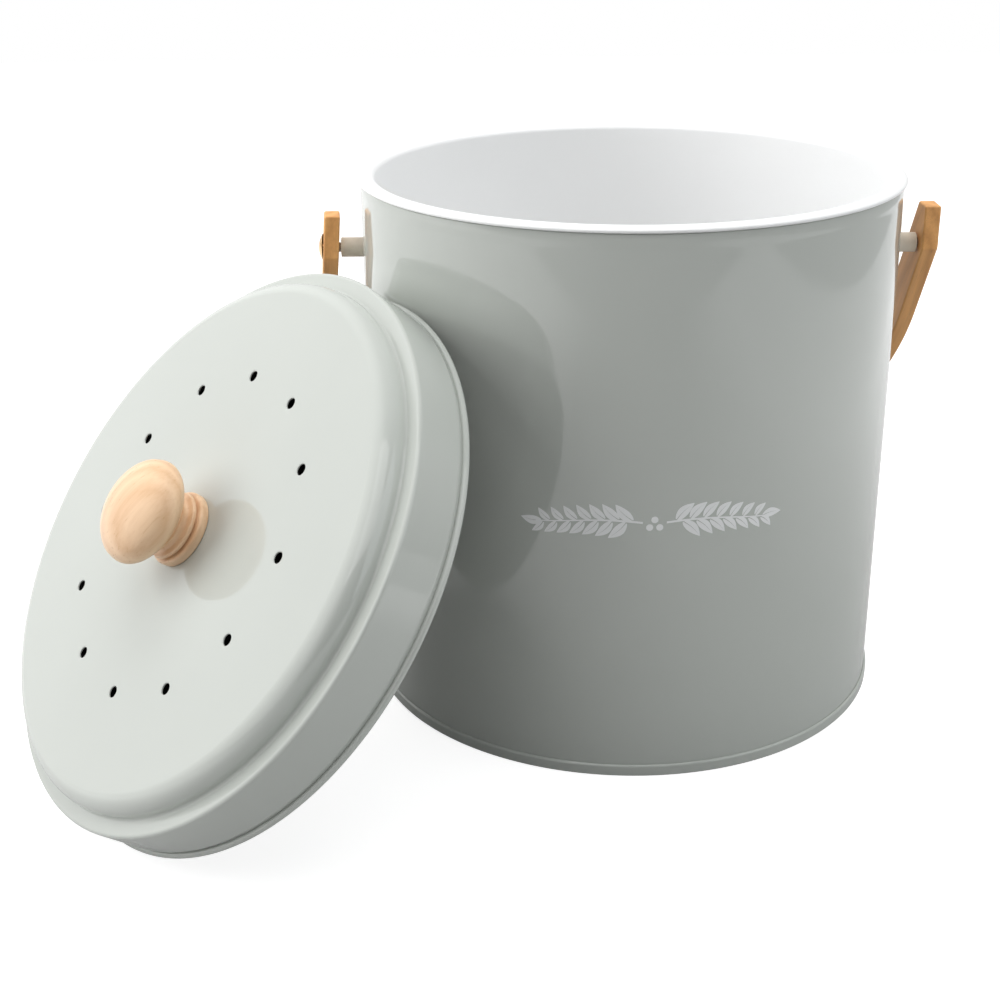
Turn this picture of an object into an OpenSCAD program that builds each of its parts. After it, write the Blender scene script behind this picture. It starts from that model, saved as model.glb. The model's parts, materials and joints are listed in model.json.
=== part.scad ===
// Kitchen compost caddy: a painted steel bucket with a plastic liner, a bent wood bail and a
// lift-off lid with a filter. The lid is off and leans on the wall; the bail hangs back.
// Millimetres. Origin: centre of the foot circle, on the floor. +Z up, front is -Y, bail pins on X.

/* [Bucket] */
// Outside diameter of the steel wall
wall_d = 222; // [200:1:250]
// Height of the liner's rim above the floor
rim_h = 222.6; // [190:0.1:260]
// Thickness of the sheet steel
sheet_t = 0.8; // [0.6:0.1:1]
// Height of the folded seam round the foot
seam_h = 5; // [4:0.5:8]
// How far the seam stands out from the wall
seam_out = 1; // [0.8:0.1:1.4]
// Height of the bottom plate above the floor
base_up = 3.2; // [2:0.2:4]
// Depth of the folded hem inside the top edge
hem_h = 6; // [4:0.5:10]

/* [Liner] */
// How far the liner's rim reaches past the wall
rim_over = 1; // [0.6:0.1:1.6]
// Thickness of the rim
rim_t = 2.2; // [1.8:0.1:4]
// Width of the rim, from its outer edge to the mouth
rim_w = 6.9; // [6.8:0.1:10]
// Thickness of the plastic wall
liner_t = 1.8; // [1.4:0.1:2]
// How much smaller the liner's radius is at its foot
liner_draft = 6; // [4:0.5:10]
// Space between the liner's foot and the bottom plate
liner_up = 8; // [4:1:20]

/* [Bail] */
// Pivot height below the rim
pivot_down = 32.5; // [30:0.5:40]
// Width of the wooden slat
slat_w = 20; // [18:1:24]
// Thickness of the slat
slat_t = 6.6; // [5:0.1:8]
// How far the pins sit off the middle of the slat's width
pin_off = 2; // [0:0.5:3]
// Inside reach, from the pins to the far bend
bail_reach = 195; // [185:1:205]
// Length of the straight part of each arm past the pin
bail_straight = 40; // [30:1:60]
// Length of the upright cut at the end of each arm
nose_cut = 18; // [16:0.5:19]
// Where the upright cut starts, measured along the arm above the pin
nose_at = 4.7; // [4:0.1:7]

/* [Pivot hardware] */
// Diameter of the pivot screws
screw_d = 4; // [3:0.5:5]
// Diameter of the spacer tubes
spacer_d = 8.2; // [7:0.2:10]
// Length of the spacer tubes
spacer_len = 9.4; // [8:0.2:12]
// Play between each spacer and the arm
arm_play = 0.9; // [0.6:0.1:1.2]
// Diameter of the domed screw heads
head_d = 11.6; // [10:0.2:13]
// Height of the domed screw heads
head_h = 1.9; // [1.4:0.1:2.4]

/* [Lid] */
// Height of the lid from its open edge to the flat top
lid_h = 33; // [31:0.2:36]
// Height of the ledge round the top
ledge_h = 24; // [22:0.5:25]
// Diameter of the flat top
flat_d = 199; // [180:1:199]
// Gap between the liner's rim and the skirt
skirt_gap = 0.8; // [0.6:0.1:1.2]
// Thickness of the lid's sheet
lid_t = 0.7; // [0.6:0.1:0.8]
// Diameter of the rolled bead
bead_d = 3.2; // [2.8:0.1:3.6]
// Number of vent holes
vent_n = 12; // [6:1:16]
// Diameter of the vent holes
vent_d = 4.4; // [3:0.1:6]
// Diameter of the circle of vent holes
vent_pcd = 128.5; // [100:0.5:140]
// Turn of the vent circle
vent_turn = 12; // [0:0.5:30]

/* [Knob] */
// Largest diameter of the knob
knob_d = 40; // [34:1:44]
// Height of the knob
knob_h = 30.4; // [28:0.2:34]
// Diameter of the knob's foot ring
knob_foot_d = 29; // [26:0.5:31]

/* [Filter] */
// Distance of the charcoal pad's edge from the edge of the lid's flat top
pad_inset = 21.5; // [19:0.5:24]
// Thickness of the charcoal pad
pad_t = 8; // [7:0.5:9]
// Spokes in the cage's grille
spoke_n = 12; // [8:1:16]

/* [Pose] */
// Direction of the leaning lid from the bucket's axis
lean_dir = 214; // [205:0.5:220]
// Tilt of the lid's axis from upright
lean_tilt = 52.3; // [48:0.1:56]

/* [Hidden] */
$fn = 96;

seat_gap = 0.3;              // pieces of two moving bodies rest this far apart
eps = 0.05;                  // sliding clearance and overlap inside one solid
wall_r = wall_d / 2;
wall_in = wall_r - sheet_t;
edge_z = rim_h - rim_t;      // top edge of the steel
rim_r = wall_r + rim_over;

mouth_r = rim_r - rim_w;
liner_top_r = mouth_r + liner_t;
liner_z = base_up + sheet_t + liner_up;
liner_foot_r = liner_top_r - liner_draft;
liner_bend = 6;

pivot_z = rim_h - pivot_down;
screw_r = screw_d / 2;
arm_in = wall_r + spacer_len + arm_play;   // inner face of each arm
arm_out = arm_in + slat_t;
arm_fit = 0.06;              // running fit of the arm on the screw
hole_fit = 0.15;
washer_t = 0.8;
washer_d = screw_d * 2.2;
nut_t = 2.2;
nut_af = screw_d * 1.75;
inner_x = wall_in - 0.12;    // flat seat of the washer inside the curved wall

// The bail swings back until the lower inner edge of its bend meets the wall.
slat_low = slat_w / 2 - pin_off;   // from the pins to the slat's lower edge
hang = asin((wall_r + seat_gap) / norm([bail_reach, slat_low])) + atan(slat_low / bail_reach);
bend_len = bail_reach - bail_straight;

bead_r = bead_d / 2;
skirt_in = rim_r + skirt_gap;
skirt_r = skirt_in + lid_t;
pinch = 0.3;                 // the skirt draws in above the bead
bead_c = skirt_in - pinch + bead_r - lid_t / 3;  // radius of the bead's centre line
shoulder_r = 7;
corner_r = 2.2;
valley_r = 1.4;
flat_r = flat_d / 2;
in_top = lid_h - lid_t;      // underside of the lid's flat top
lid_z = bead_c * sin(lean_tilt) + bead_r * (1 - cos(lean_tilt));
lid_x = wall_r + bead_r + seat_gap + bead_c * cos(lean_tilt) - bead_r * sin(lean_tilt);

knob_r = knob_d / 2;
foot_r = knob_foot_d / 2;
knob_screw_d = 5;
knob_screw_len = 20;
knob_head_h = 2.4;
knob_head_d = 9.5;
knob_washer_t = 1;
knob_washer_d = 16;

pad_r = flat_r - pad_inset;
pad_top = in_top - knob_washer_t - knob_head_h - 0.3;
cage_t = 1.6;
cage_in = pad_r + 0.4;
cage_out = cage_in + 1.6;
cage_z = pad_top - pad_t - cage_t;
cage_rim_z = pad_top - 2;
lug_out = cage_out + 5;
lug_angle = 10;
hook_n = 3;
hook_t = 1.2;
hook_angle = 10;
hook_in = lug_out + 0.4;
hook_foot_z = cage_rim_z - cage_t - seat_gap - hook_t;
hook_tab = 6;

// Points of an arc from angle a0 to a1.
function arc(x, y, r, a0, a1, n = 10) =
    [for (i = [0:n]) let (a = a0 + (a1 - a0) * i / n) [x + r * cos(a), y + r * sin(a)]];
function reversed(p) = [for (i = [len(p) - 1:-1:0]) p[i]];
// The side of the sheet facing away from the liner (s = 0) or towards it (s = lid_t).
function lid_line(s) = concat(
    [[0, lid_h - s]],
    arc(flat_r, lid_h - shoulder_r, shoulder_r - s, 90, 4, 6),
    arc(flat_r + shoulder_r + valley_r, ledge_h + valley_r - 0.5, valley_r + s, 184, 262, 3),
    arc(skirt_r - corner_r, ledge_h - corner_r, corner_r - s, 96, 0, 4),
    [[skirt_r - s, bead_d + 4], [skirt_r - pinch - s, bead_d + 1.6]]);
// The rolled bead, from the groove round to the inside of the skirt.
bead_arc = arc(bead_c, bead_r, bead_r, acos((skirt_r - pinch - bead_c) / bead_r),
               acos((skirt_in - pinch - bead_c) / bead_r) - 360, 12);

// Half of the bail's flat outline, from the arm's end round to the middle of the bend.
function half_bow(x, len, n) = concat(
    [[x, -26]],
    [for (i = [0:n]) [x * cos(90 * i / n), bail_straight + len * sin(90 * i / n)]]);
function bow(x, len, n = 32) =
    concat(half_bow(x, len, n), reversed([for (p = half_bow(x, len, n)) [-p[0], p[1]]]));

module revolved(points) {
    rotate_extrude()
        polygon(points);
}

// Lays a shape that stands on Z along the pivot axis; side is -1 on the left, 1 on the right.
module on_pivot(side, x) {
    translate([side * x, 0, pivot_z])
        rotate([0, side * 90, 0])
            children();
}

module in_lid_pose() {
    rotate([0, 0, lean_dir])
        translate([lid_x, 0, lid_z])
            rotate([0, lean_tilt, 0])
                children();
}

module bucket_wall() {
    color([0.63, 0.66, 0.63])
    difference() {
        revolved(concat(
            [[wall_in, sheet_t], [wall_r, sheet_t], [wall_r, edge_z - sheet_t]],
            arc(wall_r - sheet_t, edge_z - sheet_t, sheet_t, 15, 165, 8),
            [[wall_r - 2 * sheet_t, edge_z - hem_h], [wall_in, edge_z - hem_h - 0.3]]));
        for (side = [-1, 1])
            on_pivot(side, wall_r - 5)
                cylinder(h = 10, r = screw_r + hole_fit);
    }
}

module bucket_base() {
    leg_in = wall_in - sheet_t - eps;
    color([0.61, 0.64, 0.61])
    revolved(concat(
        [[0, base_up], [leg_in - 1.2, base_up]],
        arc(leg_in + 0.2, 0.9, 0.9, 200, 270, 4),
        arc(wall_r + seam_out - 0.8, 0.8, 0.8, 270, 360, 4),
        arc(wall_r + seam_out - 0.8, seam_h - 0.8, 0.8, 0, 90, 4),
        [[wall_r + eps, seam_h], [wall_r + eps, sheet_t], [wall_in - eps, sheet_t],
         [wall_in - eps, base_up + sheet_t], [0, base_up + sheet_t]]));
}

module spacer(side) {
    color([0.66, 0.6, 0.52])
    on_pivot(side, wall_r)
        difference() {
            cylinder(h = spacer_len, d = spacer_d);
            translate([0, 0, -1])
                cylinder(h = spacer_len + 2, r = screw_r + hole_fit);
        }
}

// Domed head outside the arm, plain shank through arm, spacer and wall into the nut.
module pivot_screw(side) {
    dome_r = (head_d * head_d / 4 + head_h * head_h) / (2 * head_h);
    shank = arm_out + seat_gap - (inner_x - washer_t - nut_t) + 0.4;
    color([0.72, 0.6, 0.42])
    on_pivot(side, arm_out + seat_gap)
        difference() {
            union() {
                intersection() {
                    translate([0, 0, head_h - dome_r])
                        sphere(r = dome_r);
                    cylinder(h = head_h + 1, d = head_d - 0.2);
                }
                translate([0, 0, -shank])
                    cylinder(h = shank + 0.2, r = screw_r);
            }
            translate([-head_d / 2, -0.5, head_h - 0.8])
                cube([head_d, 1, 2]);
        }
}

module wall_washer(side) {
    color([0.75, 0.75, 0.76])
    on_pivot(side, inner_x - washer_t)
        difference() {
            cylinder(h = washer_t, d = washer_d);
            translate([0, 0, -1])
                cylinder(h = washer_t + 2, r = screw_r + hole_fit);
        }
}

module lock_nut(side) {
    color([0.7, 0.7, 0.71])
    on_pivot(side, inner_x - washer_t - nut_t)
        difference() {
            cylinder(h = nut_t, d = nut_af / cos(30), $fn = 6);
            translate([0, 0, -1])
                cylinder(h = nut_t + 2, r = screw_r);
        }
}

module liner() {
    lip = rim_t / 2;
    slope = atan(liner_draft / (edge_z - liner_z));
    outside = concat(
        [[0, liner_z]],
        arc(liner_foot_r - liner_bend, liner_z + liner_bend, liner_bend, 270, 360 - slope, 8),
        [[liner_top_r, edge_z]]);
    inside = concat(
        [[mouth_r, rim_h - liner_t]],
        arc(liner_foot_r - liner_bend, liner_z + liner_bend, liner_bend - liner_t, 360 - slope, 270, 8),
        [[0, liner_z + liner_t]]);
    color([0.96, 0.96, 0.95])
    revolved(concat(
        outside,
        [[rim_r - 0.4, edge_z], [rim_r, edge_z + 0.5]],
        arc(rim_r - lip, rim_h - lip, lip, 10, 90, 6),
        arc(mouth_r + liner_t, rim_h - liner_t, liner_t, 90, 170, 6),
        inside));
}

// Bent slat, drawn flat in the plane of its arms, then cut to its nose and hung from the pins.
module bail() {
    up = [-cos(hang), sin(hang)];
    back = [sin(hang), cos(hang)];
    slat_high = slat_w - slat_low;
    p1 = [-nose_at, -slat_low];
    p2 = p1 + nose_cut * up;
    p3 = p2 + (slat_high - p2[1]) / back[1] * back;
    far = bail_reach + slat_t + 10;
    color([0.78, 0.58, 0.36])
    difference() {
        translate([0, 0, pivot_z])
            rotate([hang - 90, 0, 0])
                intersection() {
                    translate([0, 0, -slat_low])
                        linear_extrude(height = slat_w)
                            difference() {
                                polygon(bow(arm_out, bend_len + slat_t));
                                polygon(concat(
                                    [[arm_in, -40]],
                                    bow(arm_in, bend_len),
                                    [[-arm_in, -40]]));
                            }
                    translate([-arm_out - 10, 0, 0])
                        rotate([90, 0, 90])
                            linear_extrude(height = 2 * arm_out + 20)
                                polygon([p1, [far, -slat_low], [far, slat_high], p3, p2]);
                }
        for (side = [-1, 1])
            on_pivot(side, arm_in - 5)
                cylinder(h = slat_t + 10, r = screw_r + arm_fit);
    }
}

module lid_shell() {
    color([0.85, 0.86, 0.84])
    in_lid_pose()
        difference() {
            revolved(concat(lid_line(0), bead_arc, reversed(lid_line(lid_t))));
            for (i = [0:vent_n - 1])
                rotate([0, 0, vent_turn + i * 360 / vent_n])
                    translate([vent_pcd / 2, 0, lid_h - 3])
                        cylinder(h = 6, d = vent_d);
            translate([0, 0, lid_h - 3])
                cylinder(h = 6, d = knob_screw_d + 0.4);
        }
}

// Turned knob: foot ring, groove, second ring, neck and a domed cap.
module lid_knob() {
    cap_z = knob_h - 11.5;
    color([0.88, 0.74, 0.55])
    in_lid_pose()
        translate([0, 0, lid_h])
            difference() {
                revolved(concat(
                    [[0, 0]],
                    arc(foot_r - 1, 1, 1, 270, 360, 4),
                    arc(foot_r - 1, 2.6, 1, 0, 90, 4),
                    [[foot_r - 2.2, 3.8], [foot_r - 2.2, 4.3]],
                    arc(foot_r - 2.6, 5.4, 1.2, -60, 60, 5),
                    [[foot_r - 3.4, 6.8], [foot_r - 3.9, 8.2], [foot_r - 3.2, 9.4]],
                    [for (a = [-62:14:8]) [knob_r * cos(a), cap_z + 9.6 * sin(a)]],
                    [for (a = [18:9:90]) [knob_r * cos(a), cap_z + 11.5 * sin(a)]]));
                translate([0, 0, -1])
                    cylinder(h = knob_screw_len, r = knob_screw_d / 2);
            }
}

module knob_screw() {
    head_z = in_top - knob_washer_t - knob_head_h;
    color([0.75, 0.75, 0.76])
    in_lid_pose()
        difference() {
            union() {
                translate([0, 0, head_z])
                    cylinder(h = knob_head_h, d = knob_head_d);
                translate([0, 0, head_z + 1])
                    cylinder(h = lid_h + knob_screw_len - 2 - head_z, r = knob_screw_d / 2);
            }
            for (a = [0, 90])
                rotate([0, 0, a])
                    translate([-2.6, -0.6, head_z - 1])
                        cube([5.2, 1.2, 2.4]);
        }
}

module knob_washer() {
    color([0.75, 0.75, 0.76])
    in_lid_pose()
        translate([0, 0, in_top - knob_washer_t])
            difference() {
                cylinder(h = knob_washer_t, d = knob_washer_d);
                translate([0, 0, -1])
                    cylinder(h = knob_washer_t + 2, d = knob_screw_d + 0.4);
            }
}

// Sheet hooks welded under the flat top: tab, leg and foot.
module filter_hooks() {
    color([0.7, 0.7, 0.7])
    in_lid_pose()
        for (i = [0:hook_n - 1])
            rotate([0, 0, i * 360 / hook_n - hook_angle / 2])
                rotate_extrude(angle = hook_angle)
                    polygon([[cage_out + 0.8, hook_foot_z], [hook_in + hook_t, hook_foot_z],
                             [hook_in + hook_t, in_top - hook_t],
                             [hook_in + hook_t + hook_tab, in_top - hook_t],
                             [hook_in + hook_t + hook_tab, in_top], [hook_in, in_top],
                             [hook_in, hook_foot_z + hook_t], [cage_out + 0.8, hook_foot_z + hook_t]]);
}

// Bayonet cage: a rim with three lugs round an open grille of rings and spokes.
module filter_cage() {
    color([0.93, 0.93, 0.92])
    in_lid_pose() {
        revolved([[cage_in - 4, cage_z], [cage_out, cage_z], [cage_out, cage_rim_z],
                  [cage_in, cage_rim_z], [cage_in, cage_z + cage_t], [cage_in - 4, cage_z + cage_t]]);
        for (r = [8, cage_in / 3, cage_in * 2 / 3])
            revolved([[r, cage_z], [r + 2, cage_z], [r + 2, cage_z + cage_t], [r, cage_z + cage_t]]);
        for (i = [0:spoke_n - 1])
            rotate([0, 0, (i + 0.5) * 360 / spoke_n])
                translate([9, -0.9, cage_z])
                    cube([cage_in - 11, 1.8, cage_t]);
        for (i = [0:hook_n - 1])
            rotate([0, 0, i * 360 / hook_n - lug_angle / 2])
                rotate_extrude(angle = lug_angle)
                    translate([cage_out - 0.6, cage_rim_z - cage_t])
                        square([lug_out - cage_out + 0.6, cage_t]);
    }
}

module filter_pad() {
    color([0.12, 0.12, 0.12])
    in_lid_pose()
        translate([0, 0, pad_top - pad_t])
            cylinder(h = pad_t, r = pad_r);
}

bucket_wall();
bucket_base();
spacer(-1);  // spacer_left
spacer(1);  // spacer_right
pivot_screw(-1);  // screw_left
pivot_screw(1);  // screw_right
wall_washer(-1);  // washer_left
wall_washer(1);  // washer_right
lock_nut(-1);  // nut_left
lock_nut(1);  // nut_right
liner();
bail();
lid_shell();
lid_knob();
knob_screw();
knob_washer();
filter_hooks();
filter_cage();
filter_pad();
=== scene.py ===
"""Looks of a painted steel compost caddy: its detailed pieces, finishes, camera and light.

The bucket stands on the floor with its loose lid leaning on it. Shapes are given in millimetres and
turned into metres by MM. Heights of the lid's pieces are above the lid's open edge.
"""
import json
import math

import bmesh
import bpy
from mathutils import Matrix, Vector

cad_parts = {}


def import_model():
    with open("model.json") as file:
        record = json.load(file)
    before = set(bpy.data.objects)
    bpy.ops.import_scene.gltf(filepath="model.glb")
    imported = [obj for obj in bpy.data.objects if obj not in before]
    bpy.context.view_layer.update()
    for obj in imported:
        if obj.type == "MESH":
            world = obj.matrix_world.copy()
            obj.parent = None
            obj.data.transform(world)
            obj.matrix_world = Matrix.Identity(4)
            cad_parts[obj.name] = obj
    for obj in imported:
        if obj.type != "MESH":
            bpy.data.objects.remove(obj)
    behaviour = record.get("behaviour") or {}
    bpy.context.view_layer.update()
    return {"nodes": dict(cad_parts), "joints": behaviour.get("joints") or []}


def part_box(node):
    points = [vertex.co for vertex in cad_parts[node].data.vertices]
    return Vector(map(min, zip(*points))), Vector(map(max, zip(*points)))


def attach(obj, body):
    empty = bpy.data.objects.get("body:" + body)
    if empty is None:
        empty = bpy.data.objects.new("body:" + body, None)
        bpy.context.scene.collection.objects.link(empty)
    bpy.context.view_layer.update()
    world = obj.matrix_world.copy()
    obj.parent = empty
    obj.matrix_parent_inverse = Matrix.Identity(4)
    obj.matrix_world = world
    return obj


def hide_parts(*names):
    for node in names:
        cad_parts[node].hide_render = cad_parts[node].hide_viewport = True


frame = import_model()

MM = 0.001
JOINTS = {j["name"]: j for j in frame["joints"]}

# ---------------------------------------------------------------- sizes taken from the frame, in mm


def top_corner(node):
    """The highest corner of a node's box at rest, in mm."""
    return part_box(node)[1] / MM


WALL_R = top_corner("bucket_wall").x
EDGE_Z = top_corner("bucket_wall").z
SEAM_R = top_corner("bucket_base").x
SEAM_H = top_corner("bucket_base").z
RIM_R = top_corner("liner").x
RIM_H = top_corner("liner").z
LINER_FOOT_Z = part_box("liner")[0].z / MM
ARM_OUT = top_corner("bail").x
PIVOT_Z = JOINTS["bail_swing"]["pos_m"][2] / MM
LID_AXIS = Vector(JOINTS["lid_pull"]["axis"]).normalized()
CAGE_PIVOT_H = 20            # the cage's joint lies this far above the lid's open edge
LID_EDGE = Vector(JOINTS["cage_twist"]["pos_m"]) - LID_AXIS * CAGE_PIVOT_H * MM
LID_POSE = (
    Matrix.Translation(LID_EDGE)
    @ Matrix.Rotation(math.atan2(LID_AXIS.y, LID_AXIS.x), 4, "Z")
    @ Matrix.Rotation(math.acos(LID_AXIS.z), 4, "Y")
)

# ---------------------------------------------------------------- mesh helpers


def arc(x, y, r, a0, a1, n=8, ry=None):
    """Points of an arc from angle a0 to a1 in degrees; ry makes it part of an ellipse."""
    ry = r if ry is None else ry
    steps = [math.radians(a0 + (a1 - a0) * i / n) for i in range(n + 1)]
    return [(x + r * math.cos(a), y + ry * math.sin(a)) for a in steps]


def held(points, reach=0.5, longest=4.0):
    """Adds a point near both ends of each long straight, which keeps smooth shading true there."""
    out = [points[0]]
    for p, q in zip(points, points[1:]):
        length = math.hypot(q[0] - p[0], q[1] - p[1])
        if length > longest:
            for t in (reach / length, 1 - reach / length):
                out.append((p[0] + (q[0] - p[0]) * t, p[1] + (q[1] - p[1]) * t))
        out.append(q)
    return out


def new_object(name, bm, pose=Matrix.Identity(4), sharp=40):
    """Turns a bmesh in millimetres into a smooth shaded object at its pose."""
    bmesh.ops.recalc_face_normals(bm, faces=bm.faces)
    mesh = bpy.data.meshes.new(name)
    bm.to_mesh(mesh)
    bm.free()
    mesh.transform(pose @ Matrix.Scale(MM, 4))
    mesh.shade_smooth()
    mesh.set_sharp_from_angle(angle=math.radians(sharp))
    obj = bpy.data.objects.new(name, mesh)
    bpy.context.scene.collection.objects.link(obj)
    normals = obj.modifiers.new("normals", "WEIGHTED_NORMAL")
    normals.keep_sharp = True
    return obj


def revolve(bm, profile, turns, start=0.0, closed=True, skip=()):
    """Revolves (radius, height) points about the Z axis; skip holds the spans that get no faces."""
    rings = []
    for r, z in profile:
        if r < 1e-6:
            rings.append([bm.verts.new((0, 0, z))])
            continue
        angles = [start + 2 * math.pi * j / turns for j in range(turns)]
        rings.append([bm.verts.new((r * math.cos(a), r * math.sin(a), z)) for a in angles])
    spans = [(i, i + 1) for i in range(len(rings) - 1)]
    if closed:
        spans.append((len(rings) - 1, 0))
    for i, k in spans:
        if i in skip:
            continue
        a, b = rings[i], rings[k]
        for j in range(turns):
            n = (j + 1) % turns
            if len(a) == 1 and len(b) == 1:
                continue
            if len(a) == 1:
                bm.faces.new((a[0], b[j], b[n]))
            elif len(b) == 1:
                bm.faces.new((a[j], a[n], b[0]))
            else:
                bm.faces.new((a[j], a[n], b[n], b[j]))
    return rings


def lathe(name, profile, turns, closed=True, pose=Matrix.Identity(4)):
    """A smooth object revolved from a profile."""
    bm = bmesh.new()
    revolve(bm, held(profile), turns, closed=closed)
    return new_object(name, bm, pose)


# ---------------------------------------------------------------- material helpers

NOISE_SPAN = (0.3, 0.7)      # nearly all values of a noise texture lie between these


class Nodes:
    """Builds one material's or the world's node tree."""

    def __init__(self, tree):
        self.tree = tree
        tree.nodes.clear()

    def add(self, kind, **values):
        """A node; keyword values set its properties, or its inputs by position as in_0, in_1."""
        node = self.tree.nodes.new(kind)
        for key, value in values.items():
            if key.startswith("in_"):
                node.inputs[int(key[3:])].default_value = value
            else:
                setattr(node, key, value)
        return node

    def link(self, source, target):
        """Connects an output to an input."""
        self.tree.links.new(source, target)

    def noise(self, vector, scale, detail=2.0, rough=0.5, stretch=None):
        """A noise texture of that scale per metre, its space stretched by three factors."""
        if stretch:
            mapping = self.add("ShaderNodeMapping")
            mapping.inputs["Scale"].default_value = stretch
            self.link(vector, mapping.inputs["Vector"])
            vector = mapping.outputs[0]
        node = self.add("ShaderNodeTexNoise")
        node.inputs["Scale"].default_value = scale
        node.inputs["Detail"].default_value = detail
        node.inputs["Roughness"].default_value = rough
        self.link(vector, node.inputs["Vector"])
        return node.outputs["Fac"]

    def ramp(self, value, *stops):
        """A colour ramp with (position, colour) stops."""
        node = self.add("ShaderNodeValToRGB")
        elements = node.color_ramp.elements
        while len(elements) < len(stops):
            elements.new(0.5)
        for element, (position, colour) in zip(elements, stops):
            element.position = position
            element.color = (*colour, 1)
        self.link(value, node.inputs[0])
        return node.outputs[0]

    def remap(self, value, low, high, to_low, to_high):
        """Carries a value from one span to another, held at its ends."""
        node = self.add("ShaderNodeMapRange")
        for i, v in enumerate((low, high, to_low, to_high), 1):
            node.inputs[i].default_value = v
        self.link(value, node.inputs[0])
        return node.outputs[0]

    def math(self, operation, a, b):
        """One operation on two values; each may be a number or a socket."""
        node = self.add("ShaderNodeMath", operation=operation)
        for i, v in enumerate((a, b)):
            if isinstance(v, (int, float)):
                node.inputs[i].default_value = v
            else:
                self.link(v, node.inputs[i])
        return node.outputs[0]

    def mix(self, factor, a, b, mode="MIX"):
        """Mixes two colours; each may be a colour or a socket."""
        node = self.add("ShaderNodeMix", data_type="RGBA", blend_type=mode)
        for socket, v in ((node.inputs[0], factor), (node.inputs[6], a), (node.inputs[7], b)):
            if isinstance(v, (int, float)):
                socket.default_value = v
            elif isinstance(v, tuple):
                socket.default_value = (*v, 1)
            else:
                self.link(v, socket)
        return node.outputs[2]


def surface(name, roughness, metallic=0.0, ior=1.5):
    """A new material; returns it, its nodes, its shader and the object's own coordinates."""
    material = bpy.data.materials.new(name)
    material.use_nodes = True
    nodes = Nodes(material.node_tree)
    shader = nodes.add("ShaderNodeBsdfPrincipled")
    output = nodes.add("ShaderNodeOutputMaterial")
    nodes.link(shader.outputs[0], output.inputs[0])
    shader.inputs["Roughness"].default_value = roughness
    shader.inputs["Metallic"].default_value = metallic
    shader.inputs["IOR"].default_value = ior
    place = nodes.add("ShaderNodeTexCoord").outputs["Object"]
    return material, nodes, shader, place


def bump(nodes, shader, height, depth, base=None):
    """Raises the surface by a height of 0 to 1 times depth, in metres."""
    node = nodes.add("ShaderNodeBump")
    node.inputs["Distance"].default_value = depth
    nodes.link(height, node.inputs["Height"])
    if base is not None:
        nodes.link(base, node.inputs["Normal"])
    nodes.link(node.outputs[0], shader.inputs["Normal"])
    return node.outputs[0]


def paint(nodes, shader, value, *stops):
    """Colours the surface by a value, with (position, colour) stops."""
    nodes.link(nodes.ramp(value, *stops), shader.inputs["Base Color"])


def roughen(nodes, shader, value, smooth_at, rough_at):
    """Varies the roughness between two levels by a noise value."""
    nodes.link(nodes.remap(value, *NOISE_SPAN, smooth_at, rough_at), shader.inputs["Roughness"])


def finish(obj, material):
    """Gives an object its one material."""
    obj.data.materials.clear()
    obj.data.materials.append(material)


# ---------------------------------------------------------------- materials

SAGE = (0.505, 0.530, 0.496)
SAGE_SWING = 0.012           # share by which the enamel's tone varies to either side
ENAMEL_IOR = 1.62
WAVE_DEPTH = 6e-6            # orange peel, broad and fine, in metres
PEEL_DEPTH = 2.5e-6
WEAR_SCALE = 600             # spots of wear per metre on metal
WEAR_DEPTH = 8e-6


def enamel():
    """Glossy baked enamel with a faint orange peel and a trace of uneven tone."""
    material, nodes, shader, place = surface("sage_enamel", roughness=0.06, ior=ENAMEL_IOR)
    tone = nodes.noise(place, 14, 3)
    lighter = tuple(c * (1 + SAGE_SWING) for c in SAGE)
    darker = tuple(c * (1 - SAGE_SWING) for c in SAGE)
    paint(nodes, shader, tone, (0.35, darker), (0.65, lighter))
    gloss = nodes.noise(place, 60, 3)
    roughen(nodes, shader, gloss, 0.05, 0.075)
    peel = nodes.noise(place, 420, 1)
    waves = nodes.noise(place, 90, 1)
    flow = bump(nodes, shader, waves, WAVE_DEPTH)
    bump(nodes, shader, peel, PEEL_DEPTH, base=flow)
    return material


def white_plastic():
    """Satin moulded polypropylene."""
    material, nodes, shader, place = surface("white_polypropylene", roughness=0.3)
    shader.inputs["Subsurface Weight"].default_value = 0.12
    shader.inputs["Subsurface Scale"].default_value = 0.003
    shader.inputs["Subsurface Radius"].default_value = (1.0, 1.0, 1.0)
    tone = nodes.noise(place, 9, 2)
    paint(nodes, shader, tone, (0.3, (0.898, 0.902, 0.902)), (0.7, (0.906, 0.910, 0.909)))
    flow = nodes.noise(place, 45, 3)
    roughen(nodes, shader, flow, 0.30, 0.34)
    grain = nodes.noise(place, 900, 2)
    bump(nodes, shader, grain, 6e-6)
    return material


def print_white():
    """Screen printed white ink."""
    material, nodes, shader, place = surface("white_print", roughness=0.3)
    tone = nodes.noise(place, 120, 4)
    paint(nodes, shader, tone, (0.3, (0.85, 0.86, 0.86)), (0.7, (0.89, 0.90, 0.90)))
    bump(nodes, shader, nodes.noise(place, 1500, 2), 4e-6)
    return material


RING_SLANT = (0.10, 0.55, 0.83)   # across the growth rings, in the wood's own axes
RING_WARP = 3.2              # how far the rings wander, in rings
RING_SHARE = 0.45            # what rings and streaks add to the grain's tone
STREAK_SHARE = 0.6
GRAIN_DEPTH = 2.5e-5


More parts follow.
